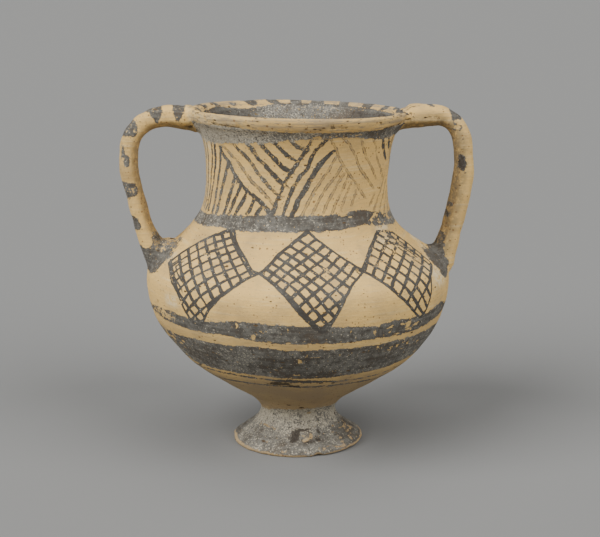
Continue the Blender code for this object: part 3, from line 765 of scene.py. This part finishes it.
def paint_layers(jar):
    """Writes where the brush went onto the mesh, as lengths and counts that the finish reads."""
    points = points_of(jar) / MM
    x, y, z = points.T
    radius = np.hypot(x, y)
    turn = np.degrees(np.arctan2(x, -y))
    round_about = turn % 360
    front = np.abs(turn) <= 90
    degrees = np.where(front, turn, turn - 180 * np.sign(turn))
    wall = outer_radius(z)
    down, off_outside = along(OUTSIDE, radius, z)
    down += LIP_TOP
    into, off_inside = along((OUTSIDE[0],) + INSIDE[::-1], radius, z)
    on_handle = (1 - ease(-0.2, 1.6, handle_distance(points))) * ease(0.4, 2.2, radius - wall)
    inside = ease(-0.2, 0.2, off_outside - off_inside) * (z > FLOOR_LEVEL)
    inside *= np.where(z < BELLY_END, 1, ease(49.2, 48.3, radius))
    outside = (1 - inside) * (1 - on_handle)
    in_mouth, on_wall = inside > 0.5, outside > 0.5
    sets, outline, doubled = lozenge_layers(degrees, down, wall)
    store_strokes(jar, degrees, down, wall, outside, sets, outline)

    on_strokes = np.interp(degrees, (-90, -15, 15, 40, 90), (0.34, 0.22, 0.12, 0.04, 0.04))
    crust = np.where(down < NECK_END, on_strokes, 0.02)
    solid = np.full_like(z, BARE)
    for (angle, upper, lower), crusted in BANDS:
        depth = np.minimum(down - np.interp(degrees, angle, upper), np.interp(degrees, angle, lower) - down)
        crust = np.where(depth > -0.6, np.interp(degrees, *crusted), crust)
        solid = np.maximum(solid, depth)
    solid = np.where(on_wall, solid, BARE)
    crust += ease(165, 168, down) * ease(182, 174, down) * 0.9 * on_wall
    beyond_lip = radius > BEYOND_LIP
    for patch in HANDLE_PATCHES:
        depth = within(x, z, patch)
        solid = np.maximum(solid, np.where(beyond_lip & (inside < 0.5), depth, BARE))
        crust = np.where((depth > -0.5) & beyond_lip, np.where(x < 0, 0.14, 0.02), crust)
    thin = np.zeros_like(z)
    for patch in THIN_PATCHES:
        depth = within(x, z, patch)
        solid = np.maximum(solid, np.where(beyond_lip & (y < 0), depth, BARE))
        thin = np.maximum(thin, ease(-0.3, 0.5, depth) * (y < 0))
        crust = np.where(thin > 0.5, 0.45, crust)
    for ring_x, ring_z, wide, hole in HANDLE_RINGS:
        reach = np.hypot(x - ring_x, z - ring_z)
        ring = np.minimum(wide - reach, reach - hole if hole else FAR)
        solid = np.where(y < 0, np.maximum(solid, ring), solid)
    mouth = into - np.interp(round_about, *MOUTH_PAINT)
    arc, mirrored = (np.radians(way) * RIM_RADIUS for way in (round_about, (180 - round_about) % 360))
    for angle, place in RIM_MARKS:
        corners = (np.radians(angle) * RIM_RADIUS, place)
        mouth = np.maximum(mouth, within(arc, into, corners))
        mouth = np.maximum(mouth, np.minimum(within(mirrored, into, corners), into - 1.9))
    solid = np.where(in_mouth, mouth, solid)
    crust = np.where(in_mouth, np.interp(round_about, *MOUTH_CRUST) * np.where(into < 6, 0.4, 1), crust)
    chips = np.where(front, spots(degrees, down, wall, CHIPS), spots(-degrees, down, wall, CHIPS[::2]) - 0.15)

    stain_and_shade, pale, worn, scuffed = (
        patches(degrees, down, table) * front * on_wall for table in (STAINS, RUBBED, WORN, SCUFFED)
    )
    # Painted shade inside the mouth, from 6.5 mm in and weaker at the back; it goes on as the stain value.
    shade = np.interp(round_about, (100, 135, 150, 205, 225), (0.5, 0.42, 0.3, 0.3, 0.5)) * ease(6.5, 8.5, into)
    stain_and_shade = np.where(in_mouth, shade, stain_and_shade)
    dark_mark = ease(-0.2, 0.6, solid) * np.interp(z, (136, 141), (0.75, 0.4))
    stain_and_shade = np.where((on_handle > 0.5) & (x > 0) & (z > 100), dark_mark, stain_and_shade)
    worn = np.maximum(worn, thin * 0.4)
    worn = np.maximum(worn, np.where((x < 0) & (z > 94), 0.14, 0.04) * on_handle)
    deep = np.interp(round_about, (100, 140, 205, 225), (0, 0.14, 0.14, 0)) * ease(5.5, 7.5, into)
    worn = np.where(in_mouth, deep, worn)
    # Painted shade, with some grime, on the handles' inner sides, darkest at the inner edge.
    left, right = handle_across(points, -1, LEFT_HANDLE) + 0.12, handle_across(points, 1, RIGHT_HANDLE) - 0.32
    handle_grime_and_shade = np.interp(np.where(x > 0, right, left), (-1, -0.5, -0.2, 0.1, 1), (0.95, 0.8, 0.4, 0.06, 0)) * on_handle
    crease = crease_distance(points)
    store(jar, "solid_paint", (solid, np.where(on_wall, outline, BARE), np.where(on_wall, chips, BARE)))
    # The stain value also holds the painted shade inside the mouth.
    store(jar, "wear_and_shade", (crust, stain_and_shade, pale))
    store(jar, "places", (doubled, worn, np.where(on_handle > 0.3, 60, down)))
    store(jar, "marks", (np.minimum(crease, 9), handle_grime_and_shade, scuffed))
    return on_handle, ease(1.2, 0.2, crease)


def draw_tight(clay, jar):
    """Draws the skin tight onto the jar, with fillets at the joints and a coarser mesh in the cavity."""
    points = points_of(clay) / MM
    radius, height = np.hypot(points[:, 0], points[:, 1]), points[:, 2]
    proud = np.abs(radius - outer_radius(height))
    handle = handle_distance(points)
    low = height < MID_HANDLE
    joint = (handle < np.where(low, 2.8, 1.6)) & (proud < np.where(low, 3.2, 2.0)) & (height > 60)
    apply_modifier(clay, "SMOOTH", factor=0.5, iterations=7)
    free = chosen(clay, ~joint)
    apply_modifier(clay, "SHRINKWRAP", target=jar, wrap_method="NEAREST_SURFACEPOINT", vertex_group=free)
    apply_modifier(clay, "SMOOTH", factor=0.3, iterations=2)
    seam = (np.abs(handle) < 3.2) & (proud < 4.5) & (height > 141) & (radius > 43.5)
    seam |= np.linalg.norm(points - CROTCH[:3], axis=1) < 10
    apply_modifier(clay, "SMOOTH", factor=0.5, iterations=12, vertex_group=chosen(clay, seam))
    cavity = (radius < 62.5) & (proud > 3.2) & low & (height > 20) & (handle > 3) & ~joint
    apply_modifier(clay, "DECIMATE", ratio=0.74, vertex_group=chosen(clay, cavity))
    clay.vertex_groups.clear()


def weathered(jar, on_handle, groove, shape):
    """Moves the finished surface as the jar's own leaning, straying axis and worn edges do."""
    points = points_of(jar) / MM
    normals = np.empty(len(points) * 3, np.float32)
    jar.data.vertices.foreach_get("normal", normals)
    wave = np.empty(len(points))
    for index, (x, y, z) in enumerate(points):
        slow = noise.noise(Vector((x, y, z * 1.6)) * 0.045)
        quick = noise.noise(Vector((x + 40, y, z)) * 0.14)
        lines = noise.noise(Vector((x * 0.02, y * 0.02, z * 0.42)))
        edge = 3.4 if on_handle[index] > 0.5 else 2.0 if z < 3 else 1.0
        wave[index] = (slow + quick * 0.5 * edge) * shape.unevenness + lines * shape.wheel_marks
    points += normals.reshape(-1, 3) * (wave[:, None] / MM - groove[:, None] * CREASE_DEPTH)
    for angle, reach, height, size, depth in DENTS:
        middle = np.array((reach * math.sin(math.radians(angle)), -reach * math.cos(math.radians(angle)), height))
        bite = depth * ease(1, 0, np.linalg.norm(points - middle, axis=1) / size)
        inward = (0, 0, BELLY_LEVEL) - middle
        points += inward / np.linalg.norm(inward) * bite[:, None]
    x, y, z = points.T
    body = 1 - on_handle
    full = np.clip((z - LEAN_START) / (LEAN_END - LEAN_START), 0, 1)
    lean = full * (shape.lean_right * x + shape.lean_back * y) * body
    lift = np.clip(1 - z / LIFT_END, 0, 1) * shape.foot_lift * np.clip(x + 3, 0, 60)
    points = np.stack((x + np.interp(z, *AXIS_STRAY) * body, y, z - lean + lift), -1)
    low, high = (np.array(corner) / MM for corner in JAR_BOX)
    points = np.clip(points, low + 0.02, high - 0.02)
    points[:, 2] -= points[:, 2].min()
    move_points(jar, points * MM)


class Socket:
    """One socket of a shader, so that sums on masks read as sums."""

    def __init__(self, tree, link):
        self.tree, self.link = tree, link

    def math(self, operation, *others):
        return self.tree.node("ShaderNodeMath", {"operation": operation}, [self, *others])

    def __add__(self, other):
        return self.math("ADD", other)

    def __sub__(self, other):
        return self.math("SUBTRACT", other)

    def __rsub__(self, other):
        return self.tree.node("ShaderNodeMath", {"operation": "SUBTRACT"}, [other, self])

    def __mul__(self, other):
        return self.math("MULTIPLY", other)

    def __truediv__(self, other):
        return self.math("DIVIDE", other)

    __radd__, __rmul__ = __add__, __mul__

    def larger(self, other):
        return self.math("MAXIMUM", other)

    def smaller(self, other):
        return self.math("MINIMUM", other)

    def step(self, low, high):
        """0 below low and 1 above high, with a smooth edge; low may be the larger."""
        if low > high:
            return 1 - self.step(high, low)
        kind = {"interpolation_type": "SMOOTHSTEP"}
        return self.tree.node("ShaderNodeMapRange", kind, {"Value": self, "From Min": low, "From Max": high}, "Result")


class Tree:
    """Adds nodes to a material, links what is a Socket and sets what is a value."""

    def __init__(self, material):
        self.nodes = material.node_tree.nodes
        self.links = material.node_tree.links

    def node(self, kind, settings=None, inputs=None, output=0):
        node = self.nodes.new(kind)
        for key, value in (settings or {}).items():
            setattr(node, key, value)
        for key, value in inputs.items() if isinstance(inputs, dict) else enumerate(inputs or ()):
            if isinstance(value, Socket):
                self.links.new(value.link, node.inputs[key])
            else:
                node.inputs[key].default_value = value
        return Socket(self, node.outputs[output])

    def mix(self, share, one, other):
        inputs = {0: share}
        for key, value in ((6, one), (7, other)):
            inputs[key] = value if isinstance(value, Socket) else (*value, 1.0)
        return self.node("ShaderNodeMix", {"data_type": "RGBA"}, inputs, 2)

    def coats(self, colour, *coats):
        """Coats laid over a colour one after another, each a (share, colour)."""
        for share, coat in coats:
            colour = self.mix(share, colour, coat)
        return colour

    def split(self, vector):
        first = self.node("ShaderNodeSeparateXYZ", None, [vector])
        return [Socket(self, output) for output in first.link.node.outputs]

    def layer(self, name):
        return self.split(self.node("ShaderNodeAttribute", {"attribute_name": name}, None, "Vector"))

    def grain(self, place, scale, detail=2.0, stretch=None, rough=0.5, seed=0.0):
        if stretch or seed:
            shift = (seed, seed * 0.7, seed * 1.3)
            inputs = {"Vector": place, "Location": shift, "Scale": stretch or (1, 1, 1)}
            place = self.node("ShaderNodeMapping", None, inputs)
        inputs = {"Vector": place, "Scale": scale, "Detail": detail, "Roughness": rough}
        return self.node("ShaderNodeTexNoise", None, inputs, 0)

    def scattered(self, place, scale, share, size, blur, wobble):
        """Small spots strewn over the surface, in a share of the cells, with wobbling edges."""
        distance = self.node("ShaderNodeTexVoronoi", None, {"Vector": place, "Scale": scale}, "Distance")
        chance = self.split(Socket(self, distance.link.node.outputs["Color"]))
        keep = (chance[0] - (1 - share)) / share
        return (keep * size - distance + wobble).step(0.0, blur) * keep.step(0.0, 0.02)


def painted_strokes(tree, name, edge, dry, hold, waver, swell):
    """The strokes of one set: where the weight is low they are brown and worn down to their two edges."""
    count, gap, weight = tree.layer(name)
    away = (((count + 0.5).math("FRACT") - 0.5) * gap + waver).math("ABSOLUTE")
    half = weight * 0.62 + 0.42 + edge * 1.5 + swell * weight
    line = (half - away).step(-0.1, 0.14)
    middle = (half * 0.55 - away).step(-0.1, 0.15) * weight.step(0.75, 0.35)
    strength = (weight + 0.42 + edge * 1.4).smaller(1.0)
    return line * (1 - middle * 0.5) * strength * (dry + hold * weight + 0.08).step(0.46, 0.6) * weight.step(0.02, 0.15)


def clay_finish(tone):
    """Buff clay with dark paint, worn, soiled, speckled with lime crust and pitted, with painted shade on the lower
    body, the handles' inner sides and inside the mouth.
    """
    material = bpy.data.materials.new("painted_clay")
    material.use_nodes = True
    tree = Tree(material)
    shader = material.node_tree.nodes["Principled BSDF"]
    shader.inputs["Specular IOR Level"].default_value = 0.3
    place = tree.node("ShaderNodeTexCoord", None, None, "Object")
    level = tree.node("ShaderNodeMapping", None, {"Vector": place, "Scale": (0.42, 0.42, 1.0)})
    doubled, worn, down = tree.layer("places")
    solid, outline, chips = tree.layer("solid_paint")
    crusted, stained_and_shaded, rubbed = tree.layer("wear_and_shade")
    crease, grimy_and_shaded, scuffed = tree.layer("marks")

    dust = tree.grain(place, 2000, 3, rough=0.7)
    fine = tree.grain(place, 1000, 4, rough=0.65, seed=2.3)
    ragged = tree.grain(place, 430, 4, rough=0.62)
    broad = tree.grain(place, 75, 3, seed=4.1)
    blotch = tree.grain(place, 24, 4, rough=0.6, seed=3.1)
    streaks = tree.grain(place, 900, 3, (0.05, 0.05, 1.0), seed=1.7)
    edge = ragged - 0.5
    dry = ragged * 0.4 + streaks * 0.15 + fine * 0.45
    wobble = (fine - 0.5) * 0.25
    crusted = crusted * (tree.grain(place, 150, 3, seed=11.9).step(0.36, 0.64) * 0.5 + 0.75)

    lip = 1 - down.step(3.5, 7.5)
    smears = tree.grain(place, 1300, 3, (0.16, 0.16, 1.0), rough=0.6, seed=5.2)
    # Soil in blotches, smears and streaks on the lip, and painted shade: darker below the belly's widest place and more
    # so towards the foot.
    soil_and_shade = broad.step(0.42, 0.7) * 0.22 + down.step(94, 104) * 0.2 + down.step(118, 140) * 0.5
    soil_and_shade = soil_and_shade + lip * streaks.step(0.46, 0.62) * 0.45 + lip * 0.16 + smears.step(0.55, 0.63) * (lip * 0.85 + 0.16)
    speck = tree.scattered(place, 760, 0.55, 0.36, 0.1, wobble)
    large = tree.scattered(place, 300, 0.26, 0.2, 0.05, wobble * 0.6)
    pits = tree.scattered(level, 420, 0.4, 0.22, 0.04, wobble)
    pits = pits.larger(tree.scattered(level, 700, 0.62, 0.3, 0.06, wobble) * lip * streaks.step(0.44, 0.54))
    clay = tree.coats(
        tone.clay,
        (blotch.step(0.38, 0.7) * 0.7, tone.clay_warm),
        (streaks.step(0.52, 0.78) * 0.35, tone.clay_pale),
        (broad.step(0.54, 0.74) * 0.4, tone.clay_warm),
        (ragged.step(0.52, 0.7) * 0.35, tone.clay_warm),
        (dust.step(0.48, 0.66) * 0.42, tone.clay_warm),
        (rubbed * ragged.step(0.36, 0.56), tone.clay_pale),
        (soil_and_shade.smaller(0.8), tone.clay_soil_and_shade),
        # Painted shade and grime on the handles' inner sides.
        (grimy_and_shaded * (ragged * 0.6 + fine * 0.4).step(0.28, 0.56), tone.handle_grime_and_shade),
        (speck * 0.75, tone.speck),
        (large * 0.7, tone.speck),
        (pits * 0.9, tone.pit),
    )

    waver = (tree.grain(place, 190, 2, seed=6.7) - 0.5) * 0.8
    swell = (tree.grain(place, 150, 2, seed=9.3) - 0.5) * 1.3
    hold = 0.18 - down.step(50, 46) * 0.14
    strokes = painted_strokes(tree, "slanting", edge, dry, hold, waver, swell)
    for name in ("counter", "upright", "returning"):
        strokes = strokes.larger(painted_strokes(tree, name, edge, dry, hold, waver, swell))
    strokes = strokes * (1 - down.step(48.4, 48.8) * (1 - outline.step(-0.1, 0.1)))
    border = (0.92 + edge * 1.3 - outline.math("ABSOLUTE")).step(-0.1, 0.14) * (dry + 0.32).step(0.42, 0.6)
    for further_in in (4.5, 8.6):
        second = (0.85 + edge * 1.8 - (outline - further_in + waver * 0.6).math("ABSOLUTE")).step(-0.1, 0.14)
        border = border.larger(second * doubled * (dry + 0.14).step(0.46, 0.6))
    body = (solid + (edge * 2.8 + (fine - 0.5) * 1.4) * (1 - lip * 0.55) + 0.05).step(-0.1, 0.14)
    body = body * (dry + 0.2 + solid.smaller(0.8).larger(0.0) * 0.2).step(0.42, 0.6)
    paint = body.larger(strokes.larger(border))
    flaked = (chips + edge * 1.8 + (fine - 0.5) * 1.6 - 0.08).step(0.0, 0.2)
    flecks = tree.scattered(level, 420, 0.34, 0.22, 0.05, wobble) * 0.85
    dots = tree.scattered(place, 800, 0.3, 0.32, 0.12, wobble) * 0.6
    rubbed_off = (worn + (dry - 0.5) * 5.0).step(0.42, 0.62) * worn.step(0.02, 0.1)
    flakes = tree.grain(place, 620, 3, (0.4, 0.4, 1.0), rough=0.55, seed=8.2)
    flaked = flaked.larger((flakes + scuffed * 0.16).step(0.66, 0.69) * scuffed.step(0.05, 0.25))
    paint = paint * (1 - flaked) * (1 - flecks) * (1 - dots) * (1 - rubbed_off)

    thick = (paint * 0.8 + (broad - 0.5) * 0.7 + edge * 0.7).step(0.3, 0.8)
    dull = (ragged * 0.4 + broad * 0.25 + streaks * 0.35).step(0.4, 0.62)
    film = (crusted.smaller(0.8) * 1.1 + edge + (broad - 0.5) * 1.2).step(0.05, 1.5)
    grit = tree.grain(place, 1500, 2, rough=0.6, seed=7.9)
    veil = (ragged * 0.25 + fine * 0.35 + grit * 0.4 + (crusted - 1.0) * 0.12).step(0.47, 0.54) * crusted.step(0.7, 1.1)
    lime = grit * 0.6 + fine * 0.25 + ragged * 0.15
    cover = (lime + (broad - 0.5) * 0.1 + crusted.smaller(0.95) * 0.09).step(0.59, 0.67)
    colour = tree.coats(
        tone.paint_thin,
        (thick, tree.mix(dull, tone.paint, tone.paint_grey)),
        (strokes.larger(border) * 0.55, tone.line),
        (film, tone.crust),
        (veil * 0.8, tone.veil),
        (cover * 0.85, tone.crumb),
        ((grit * 0.35 + fine * 0.25 + ragged * 0.4).step(0.47, 0.39) * 0.8, tone.paint),
    )
    crumbs = (dust * 0.75 + ragged * 0.25 + crusted * 0.08).step(0.62, 0.7) * crusted.step(0.05, 0.5)
    # The creases are darkened in the stain colour, which also lays the painted shade inside the mouth.
    creased = (0.2 + edge * 1.6 - crease).step(-0.12, 0.2)
    stains_and_shade = (stained_and_shaded + edge * 1.8 + (fine - 0.5) * 1.4).step(0.3, 0.75) * stained_and_shaded.step(0.02, 0.2)
    surface = tree.coats(
        clay,
        (paint, colour),
        (crumbs * (paint * 0.6 + 0.1), tone.crumb),
        (creased * 0.75, tone.stain_and_shade),
        (stains_and_shade * 0.88, tone.stain_and_shade),
    )

    tree.links.new(surface.link, shader.inputs["Base Color"])
    rough = 0.88 - paint * 0.14 + fine * 0.08
    tree.links.new(rough.link, shader.inputs["Roughness"])
    relief = fine * 0.5 + dust * 0.3 + ragged * 0.5 + streaks * 0.5 - pits * 1.2 - large * 0.4 + paint * 0.2
    relief = relief + crumbs * 0.5 - flaked * 0.35 - creased * 1.5
    bump = tree.node("ShaderNodeBump", None, {"Strength": 0.9, "Distance": 0.0004, "Height": relief})
    tree.links.new(bump.link, shader.inputs["Normal"])
    return material


class JAR_OT_model(bpy.types.Operator):
    """Turn the jar, roll its handles, join them and weather the clay"""

    bl_idname = "jar.model"
    bl_label = "Model the jar"

    def execute(self, context):
        shape = context.scene.jar_shape
        cavity = [(r + (TRIM_MARGIN if r else 0), z) for r, z in INSIDE[:-4]] + list(SHAFT)
        hollow = turned("hollow", cavity, 96)
        parts = [
            rolled_handle("left_handle", -1, LEFT_HANDLE, shape.handle_flatness, hollow),
            rolled_handle("right_handle", 1, RIGHT_HANDLE, shape.handle_flatness, hollow),
            crotch_clay(),
        ]
        bpy.data.objects.remove(hollow)
        jar = turned("jar", INSIDE + OUTSIDE + UNDERSIDE, 216)
        for part in parts:
            part.select_set(True)
        bpy.ops.object.join()
        bpy.ops.object.duplicate()
        clay = context.object
        clay.name = clay.data.name = "painted_jar"
        apply_modifier(clay, "REMESH", mode="VOXEL", voxel_size=shape.grain)
        draw_tight(clay, jar)
        bpy.data.objects.remove(jar)
        on_handle, groove = paint_layers(clay)
        weathered(clay, on_handle, groove, shape)
        pick(clay)
        bpy.ops.object.shade_smooth()
        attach(clay, "root")
        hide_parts("amphoriskos")
        return {"FINISHED"}


class JAR_OT_finish(bpy.types.Operator):
    """Paint, soil and weather the jar, with painted shade in its colour"""

    bl_idname = "jar.finish"
    bl_label = "Finish the clay"

    def execute(self, context):
        jar = bpy.data.objects["painted_jar"]
        jar.data.materials.clear()
        jar.data.materials.append(clay_finish(context.scene.jar_finish))
        return {"FINISHED"}


class JAR_OT_stage(bpy.types.Operator):
    """Set the floor, the soft lights and the camera"""

    bl_idname = "jar.stage"
    bl_label = "Set the stage"

    def execute(self, context):
        look = context.scene.jar_stage
        clear_selection()
        bpy.ops.mesh.primitive_plane_add(size=16, location=(0, 0, 0))
        floor = context.object
        floor.name = "studio_floor"
        paper = bpy.data.materials.new("floor_paper")
        paper.use_nodes = True
        shader = paper.node_tree.nodes["Principled BSDF"]
        shader.inputs["Base Color"].default_value = (*look.floor, 1.0)
        shader.inputs["Roughness"].default_value = 0.9
        floor.data.materials.append(paper)
        for name, place, strength in (
            ("key_light", (-0.87, -0.53, 0.82), look.key),
            ("side_light", (0.80, -0.72, 0.80), look.side),
            ("top_light", (0.05, 0.15, 1.20), look.top),
        ):
            aim = Vector(place).to_track_quat("Z", "Y").to_euler()
            bpy.ops.object.light_add(type="SUN", location=place, rotation=aim)
            light = context.object
            light.name = light.data.name = name
            light.data.angle = look.softness
            light.data.energy = strength
        world = bpy.data.worlds.new("studio_air")
        world.use_nodes = True
        background = world.node_tree.nodes["Background"]
        background.inputs["Color"].default_value = (1.0, 1.0, 1.0, 1.0)
        background.inputs["Strength"].default_value = look.air
        context.scene.world = world
        bpy.ops.object.camera_add(location=CAMERA_PLACE, rotation=CAMERA_TURN)
        camera = context.object
        camera.name = "camera"
        camera.data.lens = CAMERA_LENS
        camera.data.sensor_width = CAMERA_SENSOR
        context.scene.camera = camera
        return {"FINISHED"}


class JAR_PT_panel(bpy.types.Panel):
    bl_idname = "JAR_PT_panel"
    bl_label = "Painted jar"
    bl_space_type = "VIEW_3D"
    bl_region_type = "UI"
    bl_category = "Jar"

    def draw(self, context):
        scene = context.scene
        for title, group, operator in (
            ("Shape", scene.jar_shape, "jar.model"),
            ("Finish", scene.jar_finish, "jar.finish"),
            ("Stage", scene.jar_stage, "jar.stage"),
        ):
            box = self.layout.box()
            box.label(text=title)
            for name in group.__annotations__:
                box.prop(group, name)
            box.operator(operator)


CLASSES = (JarShape, JarFinish, StageLook, JAR_OT_model, JAR_OT_finish, JAR_OT_stage, JAR_PT_panel)


def register():
    for cls in CLASSES:
        bpy.utils.register_class(cls)
    bpy.types.Scene.jar_shape = bpy.props.PointerProperty(type=JarShape)
    bpy.types.Scene.jar_finish = bpy.props.PointerProperty(type=JarFinish)
    bpy.types.Scene.jar_stage = bpy.props.PointerProperty(type=StageLook)


def unregister():
    del bpy.types.Scene.jar_stage
    del bpy.types.Scene.jar_finish
    del bpy.types.Scene.jar_shape
    for cls in reversed(CLASSES):
        bpy.utils.unregister_class(cls)


def main():
    register()
    bpy.ops.jar.model()
    bpy.ops.jar.finish()
    bpy.ops.jar.stage()


if __name__ == "__main__":
    main()
